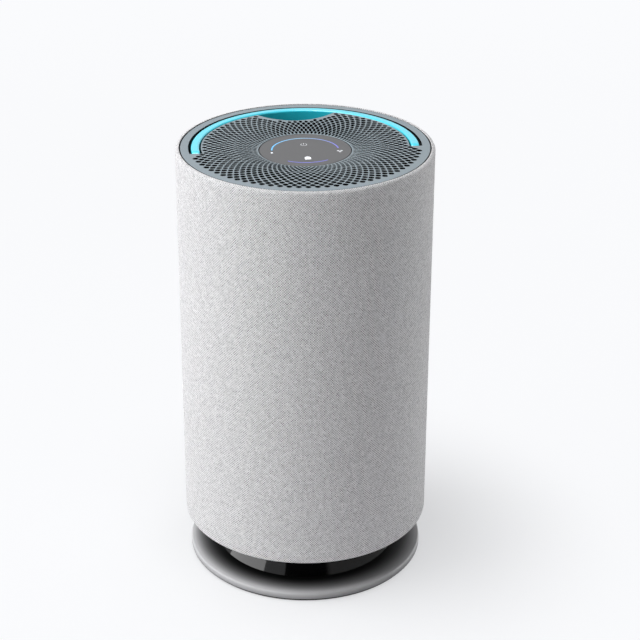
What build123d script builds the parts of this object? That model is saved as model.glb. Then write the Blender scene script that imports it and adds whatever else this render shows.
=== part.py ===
from build123d import *
import math
import os

# Clearances (mm)
FIT_GAP = 0.3
PRESS_GAP = 0.02
RUNNING_GAP = 0.05
LOCK_GAP = 0.2
SCREW_GAP = 0.15

# Drum: woven sleeve over a slotted cage and a plain upper shell
BODY_RADIUS = 126.0
FABRIC_THICKNESS = 1.2
FABRIC_EDGE_ROUND = 3.0
FABRIC_HEM_ROUND = 2.2
FABRIC_LIP_SETBACK = 0.1
HEM_DROP = 2.0
SHELL_WALL = 2.5
CAGE_HEIGHT = 212.4
CAGE_FLANGE_WIDTH = 11.0
CAGE_FLANGE_THICKNESS = 2.5
SLOT_COLUMNS = 24
SLOT_ROWS = 4
SLOT_WIDTH = 21.0
SLOT_RIB = 7.0
SLOT_MARGIN = 14.0
UPPER_SHELL_HEIGHT = 180.7
PLATE_LEDGE_WIDTH = 5.1
PLATE_LEDGE_THICKNESS = 3.0

# Pedestal: rubber foot ring, round plate and flared neck
BASE_RADIUS = 121.4
BASE_RIM_HEIGHT = 7.3
BASE_RISE = 2.3
BASE_EDGE_ROUND = 2.0
BASE_SHOULDER_SETBACK = 12.0
BASE_SHOULDER_ROUND = 80.0
BASE_SKIN = 3.0
BASE_RIBS = 12
BASE_RIB_WIDTH = 2.4
BASE_HUB_RADIUS = 25.0
BASE_BOSS_RADIUS = 5.5
COUNTERBORE_DEPTH = 4.0
FOOT_SETBACK = 2.6
FOOT_WIDTH = 8.0
FOOT_LAND = 5.0
FOOT_PROUD = 2.0
FOOT_SUNK = 2.0
NECK_FOOT_RADIUS = 93.5
NECK_WAIST_RADIUS = 86.0
NECK_TOP_RADIUS = 74.0
NECK_HEIGHT = 35.8
NECK_WAIST_HEIGHT = 12.0
NECK_WAIST_ROUND = 60.0
NECK_WALL = 3.0
NECK_FLANGE_WIDTH = 14.0
BASE_SCREW_SETBACK = 18.0
HATCH_SCREW_SETBACK = 10.0

# Twist lock between the pedestal and the drum
HATCH_THICKNESS = 2.8
COLLAR_GAP = 1.4
COLLAR_WALL = 4.5
LUG_COUNT = 6
LUG_REACH = 4.5
LUG_HEIGHT = 3.0
LUG_SPAN = 22.0
LEDGE_SPAN = 28.0
STOP_SPAN = 2.0
LOCK_SIDE_GAP = 0.6
RING_THICKNESS = 3.0
RING_SCREW_SETBACK = 6.3

# Filter cartridge
FILTER_SETBACK = 40.0
FILTER_DEPTH = 29.0
FILTER_CORE_WALL = 3.8
FILTER_CAP_THICKNESS = 4.0
FILTER_CAP_LIP = 6.0
FILTER_CAP_LIP_WALL = 0.8
NET_THICKNESS = 0.8
PLEATS = 60
PAPER_THICKNESS = 0.9
SEAL_WIDTH = 13.0
SEAL_THICKNESS = 3.7

# Fan: deck with bellmouth, duct, wheel, motor and guide vanes
DECK_THICKNESS = 3.0
SPIGOT_HEIGHT = 5.0
SPIGOT_WALL = 2.2
BELL_SETBACK = 1.0
BELL_WALL = 2.2
BELL_ROUND = 14.0
BELL_HEIGHT = 14.0
DUCT_SETBACK = 18.0
DUCT_WALL = 2.5
DUCT_HEIGHT = 107.0
DUCT_FLANGE_WIDTH = 8.0
DUCT_SCREWS = 6
WHEEL_SETBACK = 16.0
WHEEL_HEIGHT = 54.5
WHEEL_LIFT = 9.0
WHEEL_PLATE = 2.5
WHEEL_INLET_GAP = 1.8
WHEEL_SHROUD_WALL = 2.2
WHEEL_SHROUD_LIP = 6.0
WHEEL_SHROUD_RISE = 15.5
WHEEL_BOSS_RADIUS = 12.0
WHEEL_BOSS_HEIGHT = 24.0
BLADES = 9
BLADE_THICKNESS = 2.2
BLADE_SWEEP = 42.0
BLADE_BULGE = 5.0
BLADE_SETBACK = 1.0
NUT_RADIUS = 5.5
NUT_HEIGHT = 5.0
SHAFT_RADIUS = 3.0
SHAFT_TAIL = 2.0
HUB_RADIUS = 49.5
HUB_WALL = 3.0
HUB_HEIGHT = 73.0
HUB_WHEEL_GAP = 2.5
WEB_RISE = 10.0
WEB_THICKNESS = 3.0
WEB_HOLE_RADIUS = 10.0
VANES = 11
VANE_THICKNESS = 2.0
VANE_HEIGHT = 34.0
VANE_TILT = 28.0
VANE_RISE = 3.0
VANE_RING_WALL = 4.0
VANE_FLANGE = 2.0
MOTOR_RADIUS = 40.0
MOTOR_HEIGHT = 36.0
MOTOR_EDGE_ROUND = 4.0
MOTOR_SCREW_CIRCLE = 28.0
MOTOR_SCREWS = 3
BEARING_RADIUS = 8.0
BEARING_WIDTH = 6.0
BEARING_SHOULDER = 5.0

# Outlet plate with its dish, holes, handle slot and finger pocket
PLATE_GAP = 0.55
PLATE_DROP = 0.2
PLATE_THICKNESS = 2.5
DISH_SETBACK = 39.0
DISH_DEPTH = 4.65
EYE_RADIUS = 45.4
HOLES_PER_RING = 40
HOLE_RING_INSET = 7.9
HOLE_RING_STEP = 7.86
HOLE_RIB = 2.6
HOLE_MARGIN = 1.6
POCKET_RADIUS = 48.0
POCKET_CENTRE_SETBACK = 4.0

# Carry handle, its trough and its pivots
HANDLE_SETBACK = 23.5
HANDLE_WIDTH = 8.3
HANDLE_HEIGHT = 12.4
HANDLE_PROUD = 0.4
HANDLE_ROUND = 1.8
SLOT_GAP_INNER = 1.5
SLOT_GAP_OUTER = 2.6
SLOT_END_GAP = 0.5
PIVOT_Y = -6.0
PIN_RADIUS = 2.0
BUSH_RADIUS = 3.0
BUSH_LENGTH_INNER = 5.0
BUSH_LENGTH_OUTER = 2.2
PIVOT_BOSS_WIDTH = 9.0
TROUGH_WALL = 1.6
TROUGH_CLEARANCE = 0.8
WELL_DEPTH = 20.2

# Touch display in the middle of the plate
WINDOW_GROOVE = 0.8
WINDOW_THICKNESS = 2.0
WINDOW_ROUND = 0.4
CUP_WALL = 2.6
CUP_FLOOR = 2.0
CUP_COLLAR_WIDTH = 4.0
CUP_COLLAR_THICKNESS = 2.2
BOARD_THICKNESS = 1.6
BOARD_LEDGE_WIDTH = 3.4
BOARD_LEDGE_THICKNESS = 3.0
GUIDE_HEIGHT = 7.4
GUIDE_WIDTH = 1.7
UPPER_GUIDE_RADIUS = 32.5
UPPER_GUIDE_SPAN = 174.0
LOWER_GUIDE_RADIUS = 35.3
LOWER_GUIDE_SPAN = 66.0

# Mains inlet, power supply and dust sensor
INLET_WIDTH = 24.0
INLET_HEIGHT = 18.0
INLET_CENTRE_ABOVE_CAGE = 28.0
INLET_DEPTH = 21.0
INLET_SOCKET_WIDTH = 15.0
INLET_SOCKET_HEIGHT = 8.5
INLET_SOCKET_DEPTH = 14.0
INLET_FLANGE = 5.0
INLET_FLANGE_THICKNESS = 3.0
INLET_RECESS = 0.2
CONTACT_RADIUS = 1.2
CONTACT_PITCH = 8.6
CONTACT_LENGTH = 10.0
SUPPLY_WIDTH = 64.0
SUPPLY_DEPTH = 18.0
SUPPLY_HEIGHT = 90.0
SUPPLY_ABOVE_INLET = 17.0
SUPPLY_FROM_FILTER = 8.0
SUPPLY_ROUND = 3.0
SENSOR_WIDTH = 38.0
SENSOR_DEPTH = 14.0
SENSOR_HEIGHT = 34.0
SENSOR_BELOW_DECK = 24.0
SENSOR_FROM_WALL = 8.0
SENSOR_ROUND = 1.5
SENSOR_HOLE_RADIUS = 3.0
POST_RADIUS = 3.5
POST_INSET = 15.0

# Screws
SCREW_RADIUS = 1.75
SCREW_HEAD_RADIUS = 3.3
SCREW_HEAD_HEIGHT = 2.4
SCREW_TIP_GAP = 0.4

# Heights from the floor up, worked out from the sizes above
BASE_BOTTOM = FOOT_PROUD
BASE_RIM_TOP = BASE_BOTTOM + BASE_RIM_HEIGHT
BASE_SEAT = BASE_RIM_TOP + BASE_RISE
NECK_TOP = BASE_SEAT + NECK_HEIGHT
HATCH_TOP = NECK_TOP + HATCH_THICKNESS
RING_BOTTOM = HATCH_TOP + LOCK_GAP
RING_TOP = RING_BOTTOM + RING_THICKNESS
LUG_BOTTOM = RING_TOP + LOCK_GAP
LUG_TOP = LUG_BOTTOM + LUG_HEIGHT
FABRIC_BOTTOM = RING_BOTTOM - HEM_DROP
CAGE_BOTTOM = FABRIC_BOTTOM + FABRIC_THICKNESS
CAGE_TOP = CAGE_BOTTOM + CAGE_HEIGHT
DECK_TOP = CAGE_TOP + DECK_THICKNESS
SHELL_TOP = DECK_TOP + UPPER_SHELL_HEIGHT
FABRIC_TOP = SHELL_TOP + FABRIC_THICKNESS
PLATE_TOP = FABRIC_TOP - PLATE_DROP
PLATE_BOTTOM = PLATE_TOP - PLATE_THICKNESS
FILTER_TOP = CAGE_TOP - FIT_GAP - SEAL_THICKNESS
WHEEL_BOTTOM = DECK_TOP + WHEEL_LIFT
WHEEL_TOP = WHEEL_BOTTOM + WHEEL_HEIGHT
WHEEL_BOSS_BOTTOM = WHEEL_TOP - WHEEL_PLATE - WHEEL_BOSS_HEIGHT
HUB_BOTTOM = WHEEL_TOP + HUB_WHEEL_GAP
HUB_TOP = HUB_BOTTOM + HUB_HEIGHT
WEB_BOTTOM = HUB_BOTTOM + WEB_RISE
WEB_TOP = WEB_BOTTOM + WEB_THICKNESS
MOTOR_TOP = WEB_TOP + MOTOR_HEIGHT
DUCT_TOP = DECK_TOP + DUCT_HEIGHT
HANDLE_TOP = PLATE_TOP + HANDLE_PROUD
HANDLE_BOTTOM = HANDLE_TOP - HANDLE_HEIGHT
PIVOT_Z = HANDLE_TOP - HANDLE_HEIGHT / 2
TROUGH_FLOOR = HANDLE_BOTTOM - TROUGH_CLEARANCE
WELL_FLOOR = PLATE_BOTTOM - WELL_DEPTH
WINDOW_TOP = PLATE_TOP - DISH_DEPTH
WINDOW_BOTTOM = WINDOW_TOP - WINDOW_THICKNESS
BOARD_TOP = WINDOW_BOTTOM - GUIDE_HEIGHT
BOARD_BOTTOM = BOARD_TOP - BOARD_THICKNESS

# Radii shared by pieces that fit together
SHELL_OUTER = BODY_RADIUS - FABRIC_THICKNESS
SHELL_INNER = SHELL_OUTER - SHELL_WALL
PLATE_RADIUS = SHELL_INNER - PLATE_GAP
FOOT_RADIUS = BASE_RADIUS - FOOT_SETBACK
BASE_POCKET_RADIUS = FOOT_RADIUS - FOOT_WIDTH - FOOT_LAND
BASE_SCREW_CIRCLE = NECK_WAIST_RADIUS - BASE_SCREW_SETBACK
HATCH_SCREW_CIRCLE = NECK_TOP_RADIUS - HATCH_SCREW_SETBACK
FILTER_RADIUS = BODY_RADIUS - FILTER_SETBACK
FILTER_CORE_RADIUS = FILTER_RADIUS - FILTER_DEPTH
SEAL_INNER = FILTER_RADIUS - SEAL_WIDTH
BELL_RADIUS = FILTER_CORE_RADIUS - BELL_SETBACK
DUCT_RADIUS = BODY_RADIUS - DUCT_SETBACK
WHEEL_RADIUS = DUCT_RADIUS - WHEEL_SETBACK
COLLAR_RADIUS = FILTER_RADIUS + COLLAR_GAP + COLLAR_WALL
LUG_RADIUS = COLLAR_RADIUS + LUG_REACH
RING_INNER = LUG_RADIUS + LOCK_SIDE_GAP
RING_RADIUS = SHELL_INNER - FIT_GAP
RING_SCREW_CIRCLE = SHELL_INNER - RING_SCREW_SETBACK
DISH_RADIUS = BODY_RADIUS - DISH_SETBACK
POCKET_CENTRE_Y = BODY_RADIUS - POCKET_CENTRE_SETBACK
HANDLE_INNER = BODY_RADIUS - HANDLE_SETBACK
HANDLE_OUTER = HANDLE_INNER + HANDLE_WIDTH
SLOT_INNER = HANDLE_INNER - SLOT_GAP_INNER
SLOT_OUTER = HANDLE_OUTER + SLOT_GAP_OUTER
SLOT_END_Y = PIVOT_Y - HANDLE_HEIGHT / 2 - SLOT_END_GAP
WINDOW_RADIUS = EYE_RADIUS - WINDOW_GROOVE
CUP_RADIUS = EYE_RADIUS - FIT_GAP
CUP_INNER = CUP_RADIUS - CUP_WALL
DUCT_SCREW_CIRCLE = DUCT_RADIUS + DUCT_WALL + DUCT_FLANGE_WIDTH / 2
INLET_Z = CAGE_BOTTOM + INLET_CENTRE_ABOVE_CAGE
INLET_FACE_Y = math.sqrt(BODY_RADIUS**2 - (INLET_WIDTH / 2) ** 2) - INLET_RECESS
RIB_ANGLE = 180 / SLOT_COLUMNS
POST_OFFSET = SHELL_INNER * math.sin(math.radians(RIB_ANGLE))
PILOT_RADIUS = SCREW_RADIUS + RUNNING_GAP
SCREW_HOLE_RADIUS = SCREW_RADIUS + SCREW_GAP


def turned(*corners):
    """A solid turned about Z from corners given as (radius, height, rounding)."""
    outline = FilletPolyline(
        *[(radius, height) for radius, height, _ in corners],
        radius=[rounding for _, _, rounding in corners],
        close=True,
    )
    return revolve(make_face(Plane.XZ * outline), Axis.Z)


def tube(inner, outer, bottom, top):
    return turned((inner, bottom, 0), (outer, bottom, 0), (outer, top, 0), (inner, top, 0))


def disc(radius, bottom, top):
    foot = (Align.CENTER, Align.CENTER, Align.MIN)
    return Pos(0, 0, bottom) * Cylinder(radius, top - bottom, align=foot)


def block(x_range, y_range, z_range):
    corner = (Align.MIN, Align.MIN, Align.MIN)
    size = [high - low for low, high in (x_range, y_range, z_range)]
    return Pos(x_range[0], y_range[0], z_range[0]) * Box(*size, align=corner)


def around(shape, count, start=0.0):
    return [Rot(0, 0, start + 360 * i / count) * shape for i in range(count)]


def sector(inner, outer, bottom, top, middle, span):
    """A piece of a ring, centred on an angle in degrees from +X."""
    outline = Polyline((inner, bottom), (outer, bottom), (outer, top), (inner, top), close=True)
    piece = revolve(make_face(Plane.XZ * outline), Axis.Z, span)
    return Rot(0, 0, middle - span / 2) * piece


def bar_x(radius, x_from, x_to, y, z):
    """A round bar along X."""
    foot = (Align.CENTER, Align.CENTER, Align.MIN)
    return Pos(x_from, y, z) * Rot(0, 90, 0) * Cylinder(radius, x_to - x_from, align=foot)


def bar_y(radius, x, y_from, y_to, z):
    """A round bar along Y."""
    foot = (Align.CENTER, Align.CENTER, Align.MIN)
    return Pos(x, y_from, z) * Rot(-90, 0, 0) * Cylinder(radius, y_to - y_from, align=foot)


def screw(length):
    """A pan-head screw pointing up, with the seat of its head at the origin."""
    return disc(SCREW_HEAD_RADIUS, -SCREW_HEAD_HEIGHT, 0) + disc(SCREW_RADIUS, 0, length)


def base_foot():
    return tube(FOOT_RADIUS - FOOT_WIDTH, FOOT_RADIUS, 0, FOOT_PROUD + FOOT_SUNK)


def base_plate():
    plate = turned(
        (0, BASE_BOTTOM, 0),
        (BASE_RADIUS, BASE_BOTTOM, BASE_EDGE_ROUND / 2),
        (BASE_RADIUS, BASE_RIM_TOP, BASE_EDGE_ROUND),
        (BASE_RADIUS - BASE_SHOULDER_SETBACK, BASE_SEAT, BASE_SHOULDER_ROUND),
        (0, BASE_SEAT, 0),
    )
    pocket_top = BASE_SEAT - BASE_SKIN
    plate -= disc(BASE_POCKET_RADIUS, BASE_BOTTOM, pocket_top)
    half_rib = BASE_RIB_WIDTH / 2
    height = (BASE_BOTTOM, pocket_top)
    rib = block((BASE_HUB_RADIUS - half_rib, BASE_POCKET_RADIUS + half_rib), (-half_rib, half_rib), height)
    boss = Pos(BASE_SCREW_CIRCLE, 0, 0) * disc(BASE_BOSS_RADIUS, BASE_BOTTOM, pocket_top)
    plate += tube(BASE_HUB_RADIUS - BASE_RIB_WIDTH, BASE_HUB_RADIUS, BASE_BOTTOM, pocket_top)
    plate += around(rib, BASE_RIBS) + around(boss, LUG_COUNT)
    head_room = disc(SCREW_HEAD_RADIUS + FIT_GAP, BASE_BOTTOM, BASE_BOTTOM + COUNTERBORE_DEPTH)
    hole = Pos(BASE_SCREW_CIRCLE, 0, 0) * (head_room + disc(SCREW_HOLE_RADIUS, BASE_BOTTOM, BASE_SEAT))
    groove_inner = FOOT_RADIUS - FOOT_WIDTH - FIT_GAP
    groove = tube(groove_inner, FOOT_RADIUS + FIT_GAP, BASE_BOTTOM, BASE_BOTTOM + FOOT_SUNK)
    return plate - groove - around(hole, LUG_COUNT)


def neck():
    low = BASE_SEAT + NECK_WALL
    high = NECK_TOP - NECK_WALL
    shell = turned(
        (NECK_FOOT_RADIUS, BASE_SEAT, 0),
        (NECK_WAIST_RADIUS, BASE_SEAT + NECK_WAIST_HEIGHT, NECK_WAIST_ROUND),
        (NECK_TOP_RADIUS, NECK_TOP, 0),
        (NECK_TOP_RADIUS - NECK_FLANGE_WIDTH, NECK_TOP, 0),
        (NECK_TOP_RADIUS - NECK_FLANGE_WIDTH, high, 0),
        (NECK_TOP_RADIUS - NECK_WALL, high, 0),
        (NECK_WAIST_RADIUS - NECK_WALL, low, 0),
        (BASE_SCREW_CIRCLE - BASE_BOSS_RADIUS, low, 0),
        (BASE_SCREW_CIRCLE - BASE_BOSS_RADIUS, BASE_SEAT, 0),
    )
    low_hole = Pos(BASE_SCREW_CIRCLE, 0, 0) * disc(PILOT_RADIUS, BASE_SEAT, low)
    high_hole = Pos(HATCH_SCREW_CIRCLE, 0, 0) * disc(SCREW_HOLE_RADIUS, high, NECK_TOP)
    return shell - around(low_hole, LUG_COUNT) - around(high_hole, LUG_COUNT, RIB_ANGLE)


def base_screws():
    seat = BASE_BOTTOM + COUNTERBORE_DEPTH
    length = BASE_SEAT + NECK_WALL - seat - SCREW_TIP_GAP
    return Compound(around(Pos(BASE_SCREW_CIRCLE, 0, seat) * screw(length), LUG_COUNT))


def hatch_screws():
    seat = NECK_TOP - NECK_WALL
    length = NECK_WALL + HATCH_THICKNESS - SCREW_TIP_GAP
    return Compound(around(Pos(HATCH_SCREW_CIRCLE, 0, seat) * screw(length), LUG_COUNT, RIB_ANGLE))


def hatch_plate():
    plate = disc(LUG_RADIUS, NECK_TOP, HATCH_TOP)
    plate += tube(COLLAR_RADIUS - COLLAR_WALL, COLLAR_RADIUS, HATCH_TOP, LUG_TOP)
    lug = sector(COLLAR_RADIUS - COLLAR_WALL / 2, LUG_RADIUS, LUG_BOTTOM, LUG_TOP, 0, LUG_SPAN)
    hole = Pos(HATCH_SCREW_CIRCLE, 0, 0) * disc(PILOT_RADIUS, NECK_TOP, HATCH_TOP)
    return plate + around(lug, LUG_COUNT) - around(hole, LUG_COUNT, RIB_ANGLE)


def filter_cap(outside, inside):
    """An end cap from its outer face to the end of its lip, facing up or down."""
    up = 1 if inside > outside else -1
    plate = outside + up * FILTER_CAP_THICKNESS
    lip = plate + up * FILTER_CAP_LIP
    return turned(
        (FILTER_CORE_RADIUS, outside, 0),
        (FILTER_RADIUS, outside, 0),
        (FILTER_RADIUS, lip, 0),
        (FILTER_RADIUS - FILTER_CAP_LIP_WALL, lip, 0),
        (FILTER_RADIUS - FILTER_CAP_LIP_WALL, plate, 0),
        (FILTER_CORE_RADIUS, plate, 0),
    )


def filter_span():
    return HATCH_TOP + FILTER_CAP_THICKNESS, FILTER_TOP - FILTER_CAP_THICKNESS


def carbon_core():
    return tube(FILTER_CORE_RADIUS, FILTER_CORE_RADIUS + FILTER_CORE_WALL, *filter_span())


def prefilter_net():
    outer = FILTER_RADIUS - FILTER_CAP_LIP_WALL - FIT_GAP
    return tube(outer - NET_THICKNESS, outer, *filter_span())


def pleat_star(tip, root):
    points = []
    for i in range(2 * PLEATS):
        radius = root if i % 2 else tip
        angle = math.pi * i / PLEATS
        points.append((radius * math.cos(angle), radius * math.sin(angle)))
    return Wire(Polyline(*points, close=True).edges())


def filter_media():
    low, high = filter_span()
    tip = FILTER_RADIUS - FILTER_CAP_LIP_WALL - FIT_GAP - NET_THICKNESS - FIT_GAP
    root = FILTER_CORE_RADIUS + FILTER_CORE_WALL + FIT_GAP
    lean = math.atan2(math.pi * (tip + root) / 2 / PLEATS, tip - root)
    fold = PAPER_THICKNESS / math.sin(lean)
    folds = Face(pleat_star(tip, root + fold), [pleat_star(tip - fold, root)])
    return Pos(0, 0, low) * extrude(folds, high - low)


def filter_seal():
    return tube(SEAL_INNER, FILTER_RADIUS, FILTER_TOP, FILTER_TOP + SEAL_THICKNESS)


def bottom_ring():
    ring = tube(RING_INNER, RING_RADIUS, RING_BOTTOM, RING_TOP)
    inner = COLLAR_RADIUS + LOCK_SIDE_GAP
    outer = RING_INNER + RING_THICKNESS
    ledge = sector(inner, outer, RING_BOTTOM, RING_TOP, 0, LEDGE_SPAN)
    stop_angle = LEDGE_SPAN / 2 - STOP_SPAN / 2
    stop = sector(inner, outer, RING_TOP, LUG_TOP, stop_angle, STOP_SPAN)
    hole = Pos(RING_SCREW_CIRCLE, 0, 0) * disc(SCREW_HOLE_RADIUS, RING_BOTTOM, RING_TOP)
    ring += around(ledge, LUG_COUNT) + around(stop, LUG_COUNT)
    return ring - around(hole, LUG_COUNT, RIB_ANGLE)


def ring_screws():
    length = RING_THICKNESS + CAGE_FLANGE_THICKNESS - SCREW_TIP_GAP
    return Compound(around(Pos(RING_SCREW_CIRCLE, 0, RING_BOTTOM) * screw(length), LUG_COUNT, RIB_ANGLE))


def inlet_window(gap):
    """The rectangular way through the drum's wall that the mains inlet sits in."""
    half = INLET_WIDTH / 2 + gap
    tall = INLET_HEIGHT / 2 + gap
    return block((-half, half), (SHELL_INNER - INLET_FLANGE, BODY_RADIUS), (INLET_Z - tall, INLET_Z + tall))


def cage_slots():
    low = CAGE_BOTTOM + SLOT_MARGIN
    pitch = (CAGE_HEIGHT - 2 * SLOT_MARGIN + SLOT_RIB) / SLOT_ROWS
    slots = []
    for row in range(SLOT_ROWS):
        bottom = low + row * pitch
        height = (bottom, bottom + pitch - SLOT_RIB)
        slot = block((SHELL_INNER - SHELL_WALL, BODY_RADIUS), (-SLOT_WIDTH / 2, SLOT_WIDTH / 2), height)
        beside_inlet = height[0] < INLET_Z + INLET_HEIGHT and height[1] > INLET_Z - INLET_HEIGHT
        for column in range(SLOT_COLUMNS):
            angle = 360 * column / SLOT_COLUMNS
            if not (beside_inlet and abs(angle - 90) < RIB_ANGLE):
                slots.append(Rot(0, 0, angle) * slot)
    return slots


def cage_posts():
    """Stub posts on the wall's ribs that hold the power supply and the dust sensor."""
    supply_back = FILTER_RADIUS + SUPPLY_FROM_FILTER + SUPPLY_DEPTH
    sensor_back = SHELL_INNER - SENSOR_FROM_WALL
    wall = (SHELL_INNER + SHELL_OUTER) / 2 * math.cos(math.radians(RIB_ANGLE))
    posts = []
    for side in (-1, 1):
        for z in supply_post_heights():
            posts.append(bar_y(POST_RADIUS, side * POST_OFFSET, supply_back, wall, z))
        posts.append(bar_x(POST_RADIUS, sensor_back, wall, side * POST_OFFSET, sensor_middle()))
    return posts


def intake_cage():
    cage = tube(SHELL_INNER, SHELL_OUTER, CAGE_BOTTOM, CAGE_TOP)
    cage += tube(SHELL_INNER - CAGE_FLANGE_WIDTH, SHELL_INNER + SHELL_WALL / 2, RING_TOP,
                 RING_TOP + CAGE_FLANGE_THICKNESS)
    hole = Pos(RING_SCREW_CIRCLE, 0, 0) * disc(PILOT_RADIUS, RING_TOP, RING_TOP + CAGE_FLANGE_THICKNESS)
    cage -= cage_slots() + around(hole, LUG_COUNT, RIB_ANGLE) + [inlet_window(FIT_GAP)]
    return cage + cage_posts()


def upper_shell():
    shell = turned(
        (SHELL_INNER, DECK_TOP, 0),
        (SHELL_OUTER, DECK_TOP, 0),
        (SHELL_OUTER, SHELL_TOP, FABRIC_EDGE_ROUND - FABRIC_THICKNESS),
        (SHELL_INNER, SHELL_TOP, 0),
    )
    ledge = tube(SHELL_INNER - PLATE_LEDGE_WIDTH, SHELL_INNER + SHELL_WALL / 2,
                 PLATE_BOTTOM - PLATE_LEDGE_THICKNESS, PLATE_BOTTOM)
    return shell + ledge


def fabric_sleeve():
    lip = SHELL_INNER + FABRIC_LIP_SETBACK
    sleeve = turned(
        (BODY_RADIUS, FABRIC_BOTTOM, FABRIC_HEM_ROUND),
        (BODY_RADIUS, FABRIC_TOP, FABRIC_EDGE_ROUND),
        (lip, FABRIC_TOP, 0),
        (lip, SHELL_TOP, 0),
        (SHELL_OUTER, SHELL_TOP, FABRIC_EDGE_ROUND - FABRIC_THICKNESS),
        (SHELL_OUTER, CAGE_BOTTOM, 0),
        (lip, CAGE_BOTTOM, 0),
        (lip, FABRIC_BOTTOM, 0),
    )
    return sleeve - inlet_window(FIT_GAP)


def fan_deck():
    deck = turned(
        (SHELL_OUTER, CAGE_TOP, 0),
        (SHELL_OUTER, DECK_TOP, 0),
        (BELL_RADIUS + BELL_WALL, DECK_TOP, BELL_ROUND - DECK_THICKNESS),
        (BELL_RADIUS + BELL_WALL, DECK_TOP + BELL_HEIGHT, 0),
        (BELL_RADIUS, DECK_TOP + BELL_HEIGHT, 0),
        (BELL_RADIUS, CAGE_TOP, BELL_ROUND),
    )
    spigot = SHELL_INNER - FIT_GAP
    deck += tube(spigot - SPIGOT_WALL, spigot, CAGE_TOP - SPIGOT_HEIGHT, DECK_TOP + SPIGOT_HEIGHT)
    hole = Pos(DUCT_SCREW_CIRCLE, 0, 0) * disc(PILOT_RADIUS, CAGE_TOP, DECK_TOP)
    return deck - around(hole, DUCT_SCREWS)


def fan_duct():
    outer = DUCT_RADIUS + DUCT_WALL
    flange_top = DECK_TOP + DECK_THICKNESS
    duct = turned(
        (DUCT_RADIUS, DECK_TOP, 0),
        (outer + DUCT_FLANGE_WIDTH, DECK_TOP, 0),
        (outer + DUCT_FLANGE_WIDTH, flange_top, 0),
        (outer, flange_top, 0),
        (outer, DUCT_TOP, 0),
        (DUCT_RADIUS, DUCT_TOP, 0),
    )
    hole = Pos(DUCT_SCREW_CIRCLE, 0, 0) * disc(SCREW_HOLE_RADIUS, DECK_TOP, flange_top)
    return duct - around(hole, DUCT_SCREWS)


def duct_screws():
    seat = Pos(DUCT_SCREW_CIRCLE, 0, DECK_TOP + DECK_THICKNESS) * Rot(180, 0, 0)
    return Compound(around(seat * screw(2 * DECK_THICKNESS), DUCT_SCREWS))


def blade_outline():
    """A backward-swept blade seen along the shaft, a little longer than the wheel trims it."""
    root = BELL_RADIUS + BELL_WALL + WHEEL_INLET_GAP - BLADE_THICKNESS
    tip = WHEEL_RADIUS + BLADE_THICKNESS
    sweep = math.radians(BLADE_SWEEP)
    start = Vector(root, 0)
    end = Vector(tip * math.cos(sweep), tip * math.sin(sweep))
    side = (end - start).normalized().rotate(Axis.Z, -90)
    middle = (start + end) * 0.5 + side * BLADE_BULGE
    half = side * (BLADE_THICKNESS / 2)
    front = ThreePointArc(start + half, middle + half, end + half)
    back = ThreePointArc(start - half, middle - half, end - half)
    edges = [front, back, Line(front @ 0, back @ 0), Line(front @ 1, back @ 1)]
    return make_face(Curve() + edges)


def fan_impeller():
    inlet = BELL_RADIUS + BELL_WALL + WHEEL_INLET_GAP
    outer_inlet = inlet + WHEEL_SHROUD_WALL
    rim = WHEEL_BOTTOM + WHEEL_SHROUD_RISE
    lip = WHEEL_BOTTOM + WHEEL_SHROUD_LIP
    shroud = turned(
        (inlet, WHEEL_BOTTOM, 0),
        (outer_inlet, WHEEL_BOTTOM, 0),
        (outer_inlet, lip, WHEEL_SHROUD_LIP),
        (WHEEL_RADIUS, rim, 0),
        (WHEEL_RADIUS, rim + WHEEL_SHROUD_WALL, 0),
        (inlet, lip + WHEEL_SHROUD_WALL, WHEEL_SHROUD_LIP),
    )
    plate_bottom = WHEEL_TOP - WHEEL_PLATE
    bore = SHAFT_RADIUS + PRESS_GAP
    plate = tube(bore, WHEEL_RADIUS, plate_bottom, WHEEL_TOP)
    boss = tube(bore, WHEEL_BOSS_RADIUS, WHEEL_BOSS_BOTTOM, WHEEL_TOP)
    sunk = WHEEL_SHROUD_WALL / 2
    slope = (rim - lip) / (WHEEL_RADIUS - inlet)
    inner = inlet + WHEEL_SHROUD_LIP
    outer = WHEEL_RADIUS - BLADE_SETBACK
    room = turned(
        (inner, lip + sunk + slope * (inner - inlet), 0),
        (outer, lip + sunk + slope * (outer - inlet), 0),
        (outer, plate_bottom + sunk, 0),
        (inner, plate_bottom + sunk, 0),
    )
    blade = Pos(0, 0, WHEEL_BOTTOM) * extrude(blade_outline(), WHEEL_HEIGHT) & room
    return plate + boss + shroud + around(blade, BLADES)


def impeller_nut():
    nut = extrude(RegularPolygon(NUT_RADIUS, 6), NUT_HEIGHT) - disc(SHAFT_RADIUS + PRESS_GAP, 0, NUT_HEIGHT)
    return Pos(0, 0, WHEEL_BOSS_BOTTOM - NUT_HEIGHT) * nut


def motor_shaft():
    return disc(SHAFT_RADIUS, WHEEL_BOSS_BOTTOM - NUT_HEIGHT - SHAFT_TAIL, MOTOR_TOP)


def fan_motor():
    seat = BEARING_RADIUS + PRESS_GAP
    can = turned(
        (seat, WEB_TOP, 0),
        (MOTOR_RADIUS, WEB_TOP, MOTOR_EDGE_ROUND / 4),
        (MOTOR_RADIUS, MOTOR_TOP, MOTOR_EDGE_ROUND),
        (seat, MOTOR_TOP, 0),
        (seat, MOTOR_TOP - BEARING_WIDTH, 0),
        (BEARING_SHOULDER, MOTOR_TOP - BEARING_WIDTH, 0),
        (BEARING_SHOULDER, WEB_TOP + BEARING_WIDTH, 0),
        (seat, WEB_TOP + BEARING_WIDTH, 0),
    )
    hole = Pos(MOTOR_SCREW_CIRCLE, 0, 0) * disc(PILOT_RADIUS, WEB_TOP, WEB_TOP + BEARING_WIDTH)
    return can - around(hole, MOTOR_SCREWS)


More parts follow.
